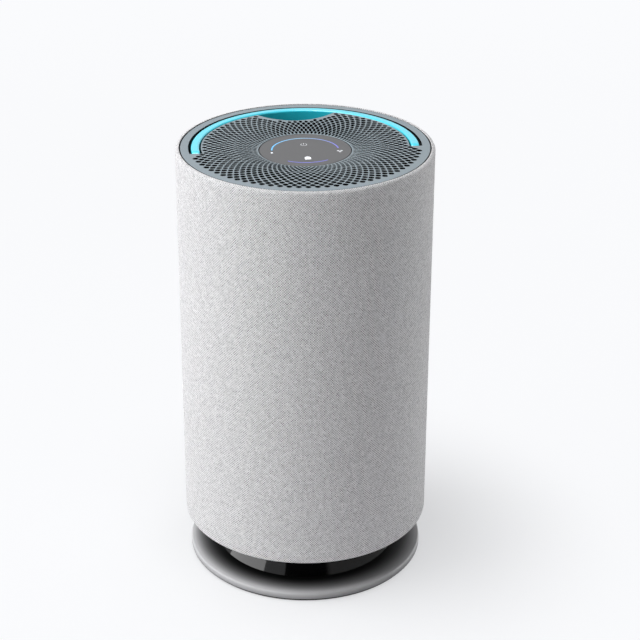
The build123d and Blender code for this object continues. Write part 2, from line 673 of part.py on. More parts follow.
def motor_bearings():
    bore = SHAFT_RADIUS + RUNNING_GAP
    low = tube(bore, BEARING_RADIUS, WEB_TOP, WEB_TOP + BEARING_WIDTH)
    high = tube(bore, BEARING_RADIUS, MOTOR_TOP - BEARING_WIDTH, MOTOR_TOP)
    return Compound([low, high])


def motor_screws():
    length = WEB_THICKNESS + BEARING_WIDTH - SCREW_TIP_GAP
    return Compound(around(Pos(MOTOR_SCREW_CIRCLE, 0, WEB_BOTTOM) * screw(length), MOTOR_SCREWS))


def diffuser():
    ring_outer = DUCT_RADIUS - FIT_GAP
    ring_inner = ring_outer - VANE_RING_WALL
    vane_bottom = HUB_BOTTOM + VANE_RISE
    hub = tube(HUB_RADIUS - HUB_WALL, HUB_RADIUS, HUB_BOTTOM, HUB_TOP)
    web = tube(WEB_HOLE_RADIUS, HUB_RADIUS - HUB_WALL / 2, WEB_BOTTOM, WEB_TOP)
    ring = tube(ring_inner, ring_outer, vane_bottom, DUCT_TOP)
    flange = tube(ring_inner, DUCT_RADIUS + DUCT_WALL, DUCT_TOP, DUCT_TOP + VANE_FLANGE)
    middle = vane_bottom + VANE_HEIGHT / 2
    sheet = Box(DUCT_RADIUS, VANE_THICKNESS, 2 * VANE_HEIGHT, align=(Align.MIN, Align.CENTER, Align.CENTER))
    room = tube(HUB_RADIUS - HUB_WALL / 2, ring_inner + VANE_RING_WALL / 2, vane_bottom,
                vane_bottom + VANE_HEIGHT)
    vane = (Pos(0, 0, middle) * Rot(VANE_TILT, 0, 0) * sheet) & room
    hole = Pos(MOTOR_SCREW_CIRCLE, 0, 0) * disc(SCREW_HOLE_RADIUS, WEB_BOTTOM, WEB_TOP)
    return hub + web + ring + flange + around(vane, VANES) - around(hole, MOTOR_SCREWS)


def slot_outline(inner, outer, end_y):
    """The C-shaped way of the handle, seen from above."""
    reach = 2 * outer
    behind = Pos(0, end_y + reach / 2) * Rectangle(2 * reach, reach)
    return (Circle(outer) - Circle(inner)) & behind


def pocket_outline(radius, outer):
    """The finger pocket in front of the handle, seen from above."""
    return (Pos(0, POCKET_CENTRE_Y) * Circle(radius)) & Circle(outer)


def hole_reach(radius):
    """Half the length and half the width of a diamond-shaped hole that leaves even ribs."""
    half_pitch = math.pi * radius / HOLES_PER_RING
    cell = half_pitch * HOLE_RING_STEP / math.hypot(half_pitch, HOLE_RING_STEP)
    share = 1 - HOLE_RIB / (2 * cell)
    return share * HOLE_RING_STEP, share * half_pitch


def hole_outline(radius, angle):
    along, across = hole_reach(radius)
    points = [(radius + along, 0), (radius, across), (radius - along, 0), (radius, -across)]
    return Wire((Rot(0, 0, angle) * Polyline(*points, close=True)).edges())


def hole_places():
    """Centres of the staggered holes that the slot, the pocket and the rim leave room for."""
    places = []
    ring = 0
    radius = EYE_RADIUS + HOLE_RING_INSET
    while radius + hole_reach(radius)[0] + HOLE_MARGIN < PLATE_RADIUS:
        along, across = hole_reach(radius)
        for i in range(HOLES_PER_RING):
            angle = 90 + 360 * (i + ring % 2 / 2) / HOLES_PER_RING
            x = radius * math.cos(math.radians(angle))
            y = radius * math.sin(math.radians(angle))
            beside_slot = radius + along + HOLE_MARGIN > SLOT_INNER
            behind_end = y + max(along, across) + HOLE_MARGIN > SLOT_END_Y
            from_pocket = math.hypot(x, y - POCKET_CENTRE_Y) - POCKET_RADIUS
            if not (beside_slot and behind_end) and from_pocket > along + HOLE_MARGIN:
                places.append((radius, angle))
        ring += 1
        radius += HOLE_RING_STEP
    return places


def top_grille():
    opening = slot_outline(SLOT_INNER, SLOT_OUTER, SLOT_END_Y) + pocket_outline(POCKET_RADIUS, SLOT_OUTER)
    blank = Circle(PLATE_RADIUS) - Circle(EYE_RADIUS) - opening
    outline = blank.face()
    holes = [hole_outline(radius, angle) for radius, angle in hole_places()]
    holed = Face(outline.outer_wire(), list(outline.inner_wires()) + holes)
    depth = DISH_DEPTH + 2 * PLATE_THICKNESS
    sheet = Pos(0, 0, PLATE_TOP - depth) * extrude(holed, 2 * depth)
    return sheet & dish()


def dish():
    """The plate's own thickness: flat outside and sinking in a long arc towards its eye."""
    run = DISH_RADIUS - EYE_RADIUS
    bend = (run**2 + DISH_DEPTH**2) / (2 * DISH_DEPTH)
    half = math.asin(run / bend) / 2
    middle = (DISH_RADIUS - bend * math.sin(half), -bend * (1 - math.cos(half)))
    end = (EYE_RADIUS, -DISH_DEPTH)
    edges = []
    for level in (PLATE_TOP, PLATE_BOTTOM):
        edges.append(ThreePointArc((DISH_RADIUS, level), (middle[0], level + middle[1]), (end[0], level + end[1])))
        edges.append(Line((DISH_RADIUS, level), (PLATE_RADIUS, level)))
    edges.append(Line((PLATE_RADIUS, PLATE_TOP), (PLATE_RADIUS, PLATE_BOTTOM)))
    edges.append(Line((EYE_RADIUS, PLATE_TOP - DISH_DEPTH), (EYE_RADIUS, PLATE_BOTTOM - DISH_DEPTH)))
    return revolve(make_face(Plane.XZ * (Curve() + edges)), Axis.Z)


def handle_trough():
    def raised(outline, bottom, top):
        return Pos(0, 0, bottom) * extrude(outline, top - bottom)

    wall = TROUGH_WALL
    slot = slot_outline(SLOT_INNER, SLOT_OUTER, SLOT_END_Y)
    slot_wall = slot_outline(SLOT_INNER - wall, SLOT_OUTER + wall, SLOT_END_Y - wall)
    well = pocket_outline(POCKET_RADIUS, SLOT_OUTER)
    well_wall = pocket_outline(POCKET_RADIUS + wall, SLOT_OUTER + wall)
    trough = raised(slot_wall, TROUGH_FLOOR - wall, PLATE_BOTTOM)
    trough += raised(well_wall, WELL_FLOOR - wall, PLATE_BOTTOM)
    half = PIVOT_BOSS_WIDTH / 2
    for side in (-1, 1):
        ends = sorted(side * x for x in pin_span())
        trough += block(ends, (PIVOT_Y - half, PIVOT_Y + half), (TROUGH_FLOOR - wall, PLATE_BOTTOM))
    trough -= raised(slot, TROUGH_FLOOR, PLATE_BOTTOM)
    trough -= raised(well, WELL_FLOOR, PLATE_BOTTOM)
    for side in (-1, 1):
        x_from, x_to = sorted(side * x for x in pin_span())
        trough -= bar_x(BUSH_RADIUS + PRESS_GAP, x_from, x_to, PIVOT_Y, PIVOT_Z)
    return trough - dish()


def slot_wall_x(radius):
    """Where a round wall of the slot crosses the pivot line."""
    return math.sqrt(radius**2 - PIVOT_Y**2)


def pin_span():
    return slot_wall_x(SLOT_INNER) - BUSH_LENGTH_INNER, slot_wall_x(SLOT_OUTER) + BUSH_LENGTH_OUTER


def bush_spans():
    inner, outer = pin_span()
    spans = []
    for side in (-1, 1):
        spans.append(sorted((side * inner, side * slot_wall_x(SLOT_INNER))))
        spans.append(sorted((side * slot_wall_x(SLOT_OUTER), side * outer)))
    return spans


def pivot_bushes():
    bushes = []
    for x_from, x_to in bush_spans():
        sleeve = bar_x(BUSH_RADIUS, x_from, x_to, PIVOT_Y, PIVOT_Z)
        bushes.append(sleeve - bar_x(PIN_RADIUS + RUNNING_GAP, x_from, x_to, PIVOT_Y, PIVOT_Z))
    return Compound(bushes)


def handle_pins():
    pins = []
    for side in (-1, 1):
        x_from, x_to = sorted(side * x for x in pin_span())
        pins.append(bar_x(PIN_RADIUS, x_from, x_to, PIVOT_Y, PIVOT_Z))
    return Compound(pins)


def carry_handle():
    hoop = turned(
        (HANDLE_INNER, HANDLE_BOTTOM, HANDLE_ROUND),
        (HANDLE_OUTER, HANDLE_BOTTOM, HANDLE_ROUND),
        (HANDLE_OUTER, HANDLE_TOP, HANDLE_ROUND),
        (HANDLE_INNER, HANDLE_TOP, HANDLE_ROUND),
    )
    reach = 2 * HANDLE_OUTER
    above = (PIVOT_Z, PIVOT_Z + HANDLE_HEIGHT)
    handle = hoop & block((-reach, reach), (PIVOT_Y, reach), (PIVOT_Z - HANDLE_HEIGHT, above[1]))
    pivot = Axis((0, PIVOT_Y, PIVOT_Z), (1, 0, 0))
    for end in handle.faces().filter_by(Axis.Y):
        handle += revolve(end & block((-reach, reach), (-reach, reach), above), pivot, 180)
    for side in (-1, 1):
        x_from, x_to = sorted(side * x for x in pin_span())
        handle -= bar_x(PIN_RADIUS + PRESS_GAP, x_from, x_to, PIVOT_Y, PIVOT_Z)
    return handle


def display_window():
    return turned(
        (0, WINDOW_BOTTOM, 0),
        (WINDOW_RADIUS, WINDOW_BOTTOM, 0),
        (WINDOW_RADIUS, WINDOW_TOP, WINDOW_ROUND),
        (0, WINDOW_TOP, 0),
    )


def display_cup():
    collar_top = PLATE_BOTTOM - DISH_DEPTH - FIT_GAP
    cup = tube(CUP_INNER, CUP_RADIUS, HUB_TOP, WINDOW_BOTTOM)
    cup += disc(HUB_RADIUS, HUB_TOP, HUB_TOP + CUP_FLOOR)
    cup += tube(CUP_INNER - BOARD_LEDGE_WIDTH, CUP_RADIUS - CUP_WALL / 2,
                BOARD_BOTTOM - BOARD_LEDGE_THICKNESS, BOARD_BOTTOM)
    cup += tube(CUP_RADIUS - CUP_WALL / 2, CUP_RADIUS + CUP_COLLAR_WIDTH,
                collar_top - CUP_COLLAR_THICKNESS, collar_top)
    return cup


def display_board():
    return disc(CUP_INNER - FIT_GAP, BOARD_BOTTOM, BOARD_TOP)


def light_guides():
    half = GUIDE_WIDTH / 2
    upper = sector(UPPER_GUIDE_RADIUS - half, UPPER_GUIDE_RADIUS + half, BOARD_TOP, WINDOW_BOTTOM, 90,
                   UPPER_GUIDE_SPAN)
    lower = sector(LOWER_GUIDE_RADIUS - half, LOWER_GUIDE_RADIUS + half, BOARD_TOP, WINDOW_BOTTOM, -90,
                   LOWER_GUIDE_SPAN)
    return Compound([upper, lower])


def power_inlet():
    half = INLET_WIDTH / 2
    tall = INLET_HEIGHT / 2
    socket_floor = INLET_FACE_Y - INLET_SOCKET_DEPTH
    body = block((-half, half), (INLET_FACE_Y - INLET_DEPTH, INLET_FACE_Y), (INLET_Z - tall, INLET_Z + tall))
    flange_half = half + INLET_FLANGE
    flange_tall = tall + INLET_FLANGE
    flange_face = math.sqrt(SHELL_INNER**2 - flange_half**2) - FIT_GAP
    body += block((-flange_half, flange_half), (flange_face - INLET_FLANGE_THICKNESS, flange_face),
                  (INLET_Z - flange_tall, INLET_Z + flange_tall))
    mouth = Plane(origin=(0, socket_floor, INLET_Z), x_dir=(1, 0, 0), z_dir=(0, 1, 0))
    socket = extrude(mouth * SlotOverall(INLET_SOCKET_WIDTH, INLET_SOCKET_HEIGHT), INLET_SOCKET_DEPTH)
    body -= socket
    for side in (-1, 1):
        body -= bar_y(CONTACT_RADIUS + PRESS_GAP, side * CONTACT_PITCH / 2, INLET_FACE_Y - INLET_DEPTH,
                      socket_floor, INLET_Z)
    return body


def inlet_contacts():
    socket_floor = INLET_FACE_Y - INLET_SOCKET_DEPTH
    contacts = []
    for side in (-1, 1):
        contacts.append(bar_y(CONTACT_RADIUS, side * CONTACT_PITCH / 2, INLET_FACE_Y - INLET_DEPTH,
                              socket_floor + CONTACT_LENGTH, INLET_Z))
    return Compound(contacts)


def supply_base():
    return INLET_Z + SUPPLY_ABOVE_INLET


def supply_post_heights():
    return supply_base() + POST_INSET, supply_base() + SUPPLY_HEIGHT - POST_INSET


def power_supply():
    front = FILTER_RADIUS + SUPPLY_FROM_FILTER
    half = SUPPLY_WIDTH / 2
    case = block((-half, half), (front, front + SUPPLY_DEPTH), (supply_base(), supply_base() + SUPPLY_HEIGHT))
    return fillet(case.edges(), SUPPLY_ROUND)


def sensor_middle():
    return CAGE_TOP - SENSOR_BELOW_DECK - SENSOR_HEIGHT / 2


def dust_sensor():
    back = SHELL_INNER - SENSOR_FROM_WALL
    front = back - SENSOR_DEPTH
    half = SENSOR_WIDTH / 2
    low = sensor_middle() - SENSOR_HEIGHT / 2
    case = block((front, back), (-half, half), (low, low + SENSOR_HEIGHT))
    case = fillet(case.edges(), SENSOR_ROUND)
    return case - bar_x(SENSOR_HOLE_RADIUS, front, front + SENSOR_DEPTH / 2, 0, sensor_middle())


NODES = {
    "base_foot": base_foot,
    "base_plate": base_plate,
    "neck": neck,
    "base_screws": base_screws,
    "hatch_screws": hatch_screws,
    "hatch_plate": hatch_plate,
    "filter_bottom_cap": lambda: filter_cap(HATCH_TOP, FILTER_TOP),
    "filter_top_cap": lambda: filter_cap(FILTER_TOP, HATCH_TOP),
    "carbon_core": carbon_core,
    "filter_media": filter_media,
    "prefilter_net": prefilter_net,
    "filter_seal": filter_seal,
    "bottom_ring": bottom_ring,
    "ring_screws": ring_screws,
    "intake_cage": intake_cage,
    "upper_shell": upper_shell,
    "fabric_sleeve": fabric_sleeve,
    "fan_deck": fan_deck,
    "fan_duct": fan_duct,
    "duct_screws": duct_screws,
    "fan_impeller": fan_impeller,
    "impeller_nut": impeller_nut,
    "motor_shaft": motor_shaft,
    "fan_motor": fan_motor,
    "motor_bearings": motor_bearings,
    "motor_screws": motor_screws,
    "diffuser": diffuser,
    "top_grille": top_grille,
    "handle_trough": handle_trough,
    "pivot_bushes": pivot_bushes,
    "handle_pins": handle_pins,
    "carry_handle": carry_handle,
    "display_window": display_window,
    "display_cup": display_cup,
    "display_board": display_board,
    "light_guides": light_guides,
    "power_inlet": power_inlet,
    "inlet_contacts": inlet_contacts,
    "power_supply": power_supply,
    "dust_sensor": dust_sensor,
}

os.makedirs("parts", exist_ok=True)
for name, make in NODES.items():
    export_step(make(), f"parts/{name}.step")
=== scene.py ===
import math

import bpy
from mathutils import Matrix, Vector
from mathutils.geometry import delaunay_2d_cdt


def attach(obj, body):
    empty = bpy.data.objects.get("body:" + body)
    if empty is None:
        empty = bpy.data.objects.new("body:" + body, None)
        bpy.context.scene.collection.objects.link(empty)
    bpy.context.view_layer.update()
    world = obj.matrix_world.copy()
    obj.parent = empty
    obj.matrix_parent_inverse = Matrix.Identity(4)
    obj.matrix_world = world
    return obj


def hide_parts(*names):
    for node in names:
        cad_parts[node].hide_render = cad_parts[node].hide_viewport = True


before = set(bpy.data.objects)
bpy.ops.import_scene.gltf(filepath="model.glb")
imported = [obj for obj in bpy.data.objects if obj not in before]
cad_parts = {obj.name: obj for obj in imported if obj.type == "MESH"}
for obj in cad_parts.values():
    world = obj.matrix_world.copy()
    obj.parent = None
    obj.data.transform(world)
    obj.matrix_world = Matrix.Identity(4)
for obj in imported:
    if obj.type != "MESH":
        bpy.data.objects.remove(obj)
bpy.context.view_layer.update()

# Foot ring: a moulded rubber ring pressed into a groove under the pedestal. It lifts the plate two
# millimetres off the floor, so it shows only as a dark line. Rubber is matt, faintly cloudy and pitted.


class Wire:
    """One output of a shader tree. Arithmetic on wires adds the Math nodes that work it out."""

    def __init__(self, socket):
        self.socket = socket

    def node(self, kind, settings, inputs, output=0):
        """A new node in the same tree, from its settings and its inputs' values or wires."""
        made = self.socket.id_data.nodes.new(kind)
        for name, value in settings.items():
            if name == "stops":
                while len(made.color_ramp.elements) < len(value):
                    made.color_ramp.elements.new(1.0)
                for element, (position, colour) in zip(made.color_ramp.elements, value):
                    element.position = position
                    element.color = colour
            else:
                setattr(made, name, value)
        for name, value in inputs.items():
            plug(next(s for s in made.inputs if name in (s.identifier, s.name)), value)
        if isinstance(output, int):
            return Wire(made.outputs[output])
        return Wire(next(s for s in made.outputs if output in (s.identifier, s.name)))

    def maths(self, operation, *others):
        inputs = dict(zip(("Value", "Value_001"), (self, *others)))
        return self.node("ShaderNodeMath", {"operation": operation}, inputs)

    def __add__(self, other):
        return self.maths("ADD", other)

    __radd__ = __add__

    def __mul__(self, other):
        return self.maths("MULTIPLY", other)

    __rmul__ = __mul__

    def __sub__(self, other):
        return self.maths("SUBTRACT", other)

    def __rsub__(self, other):
        return self.node("ShaderNodeMath", {"operation": "SUBTRACT"}, {"Value": other, "Value_001": self})

    def __pow__(self, other):
        return self.maths("POWER", other)

    def mixed(self, at_zero, at_one):
        """A colour between two others, by this wire's value."""
        return self.node("ShaderNodeMix", {"data_type": "RGBA"},
                         {"Factor_Float": self, "A_Color": at_zero, "B_Color": at_one}, "Result_Color")

    def noise(self, per_metre, detail=2.0, roughness=0.5):
        return self.node("ShaderNodeTexNoise", {}, {"Vector": self, "Scale": per_metre, "Detail": detail,
                                                    "Roughness": roughness}, "Fac")

    def bump(self, strength, depth):
        """A normal from this wire as a height, with the depth in metres."""
        return self.node("ShaderNodeBump", {}, {"Height": self, "Strength": strength, "Distance": depth},
                         "Normal")


def plug(socket, value):
    if isinstance(value, Wire):
        socket.id_data.links.new(value.socket, socket)
    else:
        socket.default_value = value


def new_finish(name):
    """A new material, and the wire with the place of a point on the piece, in metres."""
    finish = bpy.data.materials.new(name)
    finish.use_nodes = True
    place = finish.node_tree.nodes.new("ShaderNodeTexCoord")
    return finish, Wire(place.outputs["Object"])


def set_surface(finish, **values):
    shader = finish.node_tree.nodes["Principled BSDF"]
    for name, value in values.items():
        plug(shader.inputs[name.replace("_", " ")], value)


def dress(finish, *nodes):
    for name in nodes:
        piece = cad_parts[name]
        if not piece.material_slots:
            piece.data.materials.append(finish)
        for slot in piece.material_slots:
            slot.material = finish


RUBBER_DARK = (0.012, 0.012, 0.013, 1)
RUBBER_PALE = (0.026, 0.026, 0.028, 1)

foot_rubber, place = new_finish("foot_rubber")
cloud = place.noise(per_metre=60.0)
pits = place.noise(per_metre=2600.0, detail=3.0)
set_surface(foot_rubber, Base_Color=cloud.mixed(RUBBER_DARK, RUBBER_PALE), Roughness=0.72 + cloud * 0.16,
            Specular_IOR_Level=0.15, Normal=pits.bump(strength=0.35, depth=0.0002))
dress(foot_rubber, "base_foot")

# Pedestal: a round moulded plate whose top rounds off towards the rim, sprayed in satin silver-grey with
# fine flake. Its colour fades to black towards the neck as painted shade under the drum, is painted darker
# down the flank as shade, and is painted black at the lower edge as the shadow line above the foot.

SILVER_DARK = (0.435, 0.435, 0.446, 1)
SILVER_PALE = (0.515, 0.515, 0.527, 1)
SHADED_FLANK_GREY = (0.255, 0.255, 0.261, 1)
EDGE_SHADOW_BLACK = (0.004, 0.004, 0.0042, 1)
NECK_SHADE_BLACK = (0.003, 0.003, 0.0032, 1)
NECK_SHADE_START = 0.096  # metres from the axis
NECK_SHADE_END = 0.118
NECK_SHADE_CURVE = 2.3
FLANK_SHADE_LOW = 0.004  # metres above the floor
FLANK_SHADE_HIGH = 0.0095
EDGE_SHADOW_LOW = 0.0027
EDGE_SHADOW_HIGH = 0.0034


def rise(wire, start, end, top=1.0, interpolation="LINEAR"):
    """A wire that is 0 up to a start value of another and climbs to its top at an end value."""
    return wire.node("ShaderNodeMapRange", {"interpolation_type": interpolation},
                     {"Value": wire, "From Min": start, "From Max": end, "To Max": top}, "Result")


def length(vector):
    return vector.node("ShaderNodeVectorMath", {"operation": "LENGTH"}, {"Vector": vector}, "Value")


def axis(vector, name):
    return vector.node("ShaderNodeSeparateXYZ", {}, {"Vector": vector}, name)


pedestal_paint_and_shade, place = new_finish("pedestal_paint_and_shade")
flake = place.noise(per_metre=3800.0, detail=1.0)
haze = place.noise(per_metre=22.0, detail=3.0)
height = axis(place, "Z")
level = place.node("ShaderNodeVectorMath", {"operation": "MULTIPLY"},
                   {"Vector": place, "Vector_001": (1, 1, 0)}, "Vector")
# Painted shade: the colour turns black towards the neck, where the drum above shades the pedestal.
painted_neck_shade = rise(length(level), NECK_SHADE_START, NECK_SHADE_END) ** NECK_SHADE_CURVE
silver_and_shade = (flake * 0.6 + haze * 0.4).mixed(SILVER_DARK, SILVER_PALE)
# Painted shade: the flank is painted darker grey than the top, where less light falls on it.
silver_and_shade = rise(height, FLANK_SHADE_LOW, FLANK_SHADE_HIGH).mixed(SHADED_FLANK_GREY, silver_and_shade)
# Painted shadow: the lower edge is painted black to darken the shadow line above the foot.
silver_and_shade = rise(height, EDGE_SHADOW_LOW, EDGE_SHADOW_HIGH).mixed(EDGE_SHADOW_BLACK, silver_and_shade)
set_surface(pedestal_paint_and_shade, Base_Color=painted_neck_shade.mixed(NECK_SHADE_BLACK, silver_and_shade), Specular_IOR_Level=0.15,
            Roughness=0.4 + haze * 0.1, Normal=flake.bump(strength=0.05, depth=0.0001))
dress(pedestal_paint_and_shade, "base_plate")

# Neck: a tapered drum between pedestal and body, moulded in black and polished to a high gloss.
# It mirrors the studio lamps; only faint waves of the moulding and a few dull spots disturb them.

NECK_BLACK = (0.004, 0.004, 0.0045, 1)

neck_gloss, place = new_finish("neck_gloss")
wave = place.noise(per_metre=16.0, detail=1.0)
dust = place.noise(per_metre=900.0, detail=4.0, roughness=0.7)
set_surface(neck_gloss, Base_Color=NECK_BLACK, Specular_IOR_Level=0.32,
            Roughness=0.05 + (dust ** 6.0) * 0.5, Normal=wave.bump(strength=0.04, depth=0.001))
dress(neck_gloss, "neck")

# Screws, pins, shaft, nut and bearings: plain turned steel with a thin zinc coat.
# Turning leaves fine marks; the zinc is cloudy and a little warm in places.

ZINC_COOL = (0.46, 0.47, 0.48, 1)
ZINC_WARM = (0.62, 0.62, 0.60, 1)

zinc_steel, place = new_finish("zinc_steel")
cloud = place.noise(per_metre=240.0, detail=3.0)
marks = place.noise(per_metre=3000.0, detail=1.0)
set_surface(zinc_steel, Base_Color=cloud.mixed(ZINC_COOL, ZINC_WARM), Metallic=1.0,
            Roughness=0.26 + cloud * 0.18, Normal=marks.bump(strength=0.12, depth=0.0001))
dress(zinc_steel, "base_screws", "hatch_screws", "ring_screws", "duct_screws", "motor_screws",
      "impeller_nut", "motor_shaft", "motor_bearings", "handle_pins")

# Hatch, bottom ring, cage, shell, deck, trough, cup and inlet: black mouldings with a fine spark-eroded
# grain. The hatch carries the filter and locks into the bottom ring; the others are screwed or clipped to
# the cage.


def moulding(name, dark, pale, grain_per_metre, roughness):
    """Moulded plastic with a fine grain, a little uneven in gloss."""
    finish, place = new_finish(name)
    speck = place.noise(per_metre=grain_per_metre, detail=3.0, roughness=0.6)
    drift = place.noise(per_metre=18.0)
    set_surface(finish, Base_Color=(speck * 0.5 + drift * 0.5).mixed(dark, pale),
                Roughness=roughness - 0.06 + drift * 0.12, Normal=speck.bump(strength=0.25, depth=0.00015))
    return finish


black_moulding = moulding("black_moulding", dark=(0.010, 0.010, 0.011, 1), pale=(0.022, 0.022, 0.024, 1),
                          grain_per_metre=1500.0, roughness=0.5)
dress(black_moulding, "hatch_plate", "bottom_ring", "intake_cage", "upper_shell", "fan_deck",
      "handle_trough", "display_cup", "power_inlet")

# Filter cartridge: white end caps hold a ring of pleated paper round a core of bonded carbon grains.
# A fine knitted net lies over the pleats, and a foam ring seals the top against the fan deck.

CARBON_PALE = (0.03, 0.03, 0.032, 1)
CARBON_DARK = (0.008, 0.008, 0.008, 1)
PAPER_DARK = (0.70, 0.70, 0.66, 1)
PAPER_PALE = (0.84, 0.84, 0.80, 1)
NET_GAP = (0.02, 0.02, 0.021, 1)
NET_THREAD = (0.07, 0.07, 0.075, 1)
THREAD_WIDTH = 0.09
FOAM_DARK = (0.02, 0.02, 0.021, 1)
FOAM_PALE = (0.05, 0.05, 0.052, 1)


def cells(place, per_metre, **settings):
    """The distance from a point to the middle or the edge of its cell, as the settings say."""
    return place.node("ShaderNodeTexVoronoi", settings, {"Vector": place, "Scale": per_metre}, "Distance")


cap_plastic = moulding("cap_plastic", dark=(0.66, 0.66, 0.63, 1), pale=(0.74, 0.74, 0.72, 1),
                       grain_per_metre=1100.0, roughness=0.55)
dress(cap_plastic, "filter_bottom_cap", "filter_top_cap")

carbon_grains, place = new_finish("carbon_grains")
grain = cells(place, per_metre=620.0)
set_surface(carbon_grains, Base_Color=grain.mixed(CARBON_PALE, CARBON_DARK), Roughness=0.75 + grain * 0.2,
            Normal=(1 - grain).bump(strength=0.8, depth=0.0008))
dress(carbon_grains, "carbon_core")

pleat_paper, place = new_finish("pleat_paper")
fibre = place.noise(per_metre=1900.0, detail=5.0, roughness=0.7)
fleck = place.noise(per_metre=240.0)
set_surface(pleat_paper, Base_Color=(fibre * 0.6 + fleck * 0.4).mixed(PAPER_DARK, PAPER_PALE),
            Roughness=0.92, Normal=fibre.bump(strength=0.4, depth=0.0002))
dress(pleat_paper, "filter_media")

net_knit, place = new_finish("net_knit")
thread = cells(place, per_metre=700.0, feature="DISTANCE_TO_EDGE").maths("LESS_THAN", THREAD_WIDTH)
set_surface(net_knit, Base_Color=thread.mixed(NET_GAP, NET_THREAD), Roughness=0.85,
            Normal=thread.bump(strength=0.5, depth=0.0003))
dress(net_knit, "prefilter_net")

seal_foam, place = new_finish("seal_foam")
bubble = cells(place, per_metre=1400.0)
set_surface(seal_foam, Base_Color=bubble.mixed(FOAM_DARK, FOAM_PALE), Roughness=0.95,
            Normal=bubble.bump(strength=0.6, depth=0.0003))
dress(seal_foam, "filter_seal")

# Fan: a white swept-blade wheel on the shaft of a painted motor, in a grey duct with guide vanes above.
# Power supply and dust sensor are boxes of the same grey plastic inside the cage; the handle's bushes are
# pressed in, the display's board is lacquered and the inlet's contacts are brass.

MOTOR_DARK = (0.045, 0.045, 0.047, 1)
MOTOR_PALE = (0.07, 0.07, 0.072, 1)
LACQUER_DARK = (0.006, 0.06, 0.025, 1)
LACQUER_PALE = (0.012, 0.10, 0.045, 1)
TRACK_WIDTH = 0.3
BRASS_DARK = (0.50, 0.34, 0.12, 1)
BRASS_PALE = (0.66, 0.48, 0.20, 1)

wheel_plastic = moulding("wheel_plastic", dark=(0.60, 0.60, 0.58, 1), pale=(0.68, 0.68, 0.66, 1),
                         grain_per_metre=900.0, roughness=0.42)
dress(wheel_plastic, "fan_impeller")
grey_moulding = moulding("grey_moulding", dark=(0.020, 0.021, 0.022, 1), pale=(0.036, 0.037, 0.039, 1),
                         grain_per_metre=1200.0, roughness=0.55)
dress(grey_moulding, "fan_duct", "diffuser", "power_supply", "dust_sensor")
bush_plastic = moulding("bush_plastic", dark=(0.05, 0.05, 0.052, 1), pale=(0.08, 0.08, 0.083, 1),
                        grain_per_metre=1800.0, roughness=0.4)
dress(bush_plastic, "pivot_bushes")

motor_case, place = new_finish("motor_case")
peel = place.noise(per_metre=700.0)
set_surface(motor_case, Base_Color=peel.mixed(MOTOR_DARK, MOTOR_PALE), Metallic=0.4,
            Roughness=0.42 + peel * 0.1, Normal=peel.bump(strength=0.15, depth=0.0002))
dress(motor_case, "fan_motor")

board_lacquer, place = new_finish("board_lacquer")
track = cells(place, per_metre=260.0, distance="MANHATTAN").maths("LESS_THAN", TRACK_WIDTH)
set_surface(board_lacquer, Base_Color=track.mixed(LACQUER_DARK, LACQUER_PALE), Roughness=0.35,
            Normal=track.bump(strength=0.2, depth=0.00005))
dress(board_lacquer, "display_board")

contact_brass, place = new_finish("contact_brass")
tarnish = place.noise(per_metre=500.0, detail=3.0)
set_surface(contact_brass, Base_Color=tarnish.mixed(BRASS_DARK, BRASS_PALE), Metallic=1.0,
            Roughness=0.25 + tarnish * 0.2)
dress(contact_brass, "inlet_contacts")

# Sleeve: a light grey melange cloth in plain weave, cut as one strip, seamed at the back and pulled over
# cage and shell. It turns in over the rim at the top, is glued under the cage at the bottom, and has a
# window for the inlet.

MM = 0.001
SHARP_EDGE = 38
DRUM_RADIUS = 126.0
CLOTH = 1.2
SLEEVE_BOTTOM = 48.4
SLEEVE_TOP = 446.9
LIP_RADIUS = 122.4
RIM_ROUND = 3.0
HEM_ROUND = 2.2
INLET_HALF_WIDTH = 12.3
INLET_LOW = 68.3
INLET_HIGH = 86.9
HEM_ROWS = [56, 62]
WALL_START = 96
WALL_STEP = 8.7
WALL_ROWS = 40
DRUM_COLUMNS = 232
SEAM_WIDTH = 2.2
SEAM_DEPTH = 0.8


def mesh_piece(name, points, faces, finishes, body, finish_of_face=None):
    """A new piece from points in millimetres, smooth but for its sharp edges, that rides on a body."""
    mesh = bpy.data.meshes.new(name)
    mesh.from_pydata([tuple(MM * c for c in p) for p in points], [], faces)
    mesh.polygons.foreach_set("use_smooth", [True] * len(mesh.polygons))
    mesh.set_sharp_from_angle(angle=math.radians(SHARP_EDGE))
    for finish in finishes:
        mesh.materials.append(finish)
    if finish_of_face:
        mesh.polygons.foreach_set("material_index", finish_of_face)
    piece = bpy.data.objects.new(name, mesh)
    bpy.context.collection.objects.link(piece)
    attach(piece, body)
    return piece


def rounded(middle_r, middle_z, radius, start, end, steps):
    """Points (r, z) of a rounding about its middle, between two angles in degrees."""
    turns = [math.radians(start + (end - start) * i / steps) for i in range(steps + 1)]
    return [(middle_r + radius * math.cos(t), middle_z + radius * math.sin(t)) for t in turns]


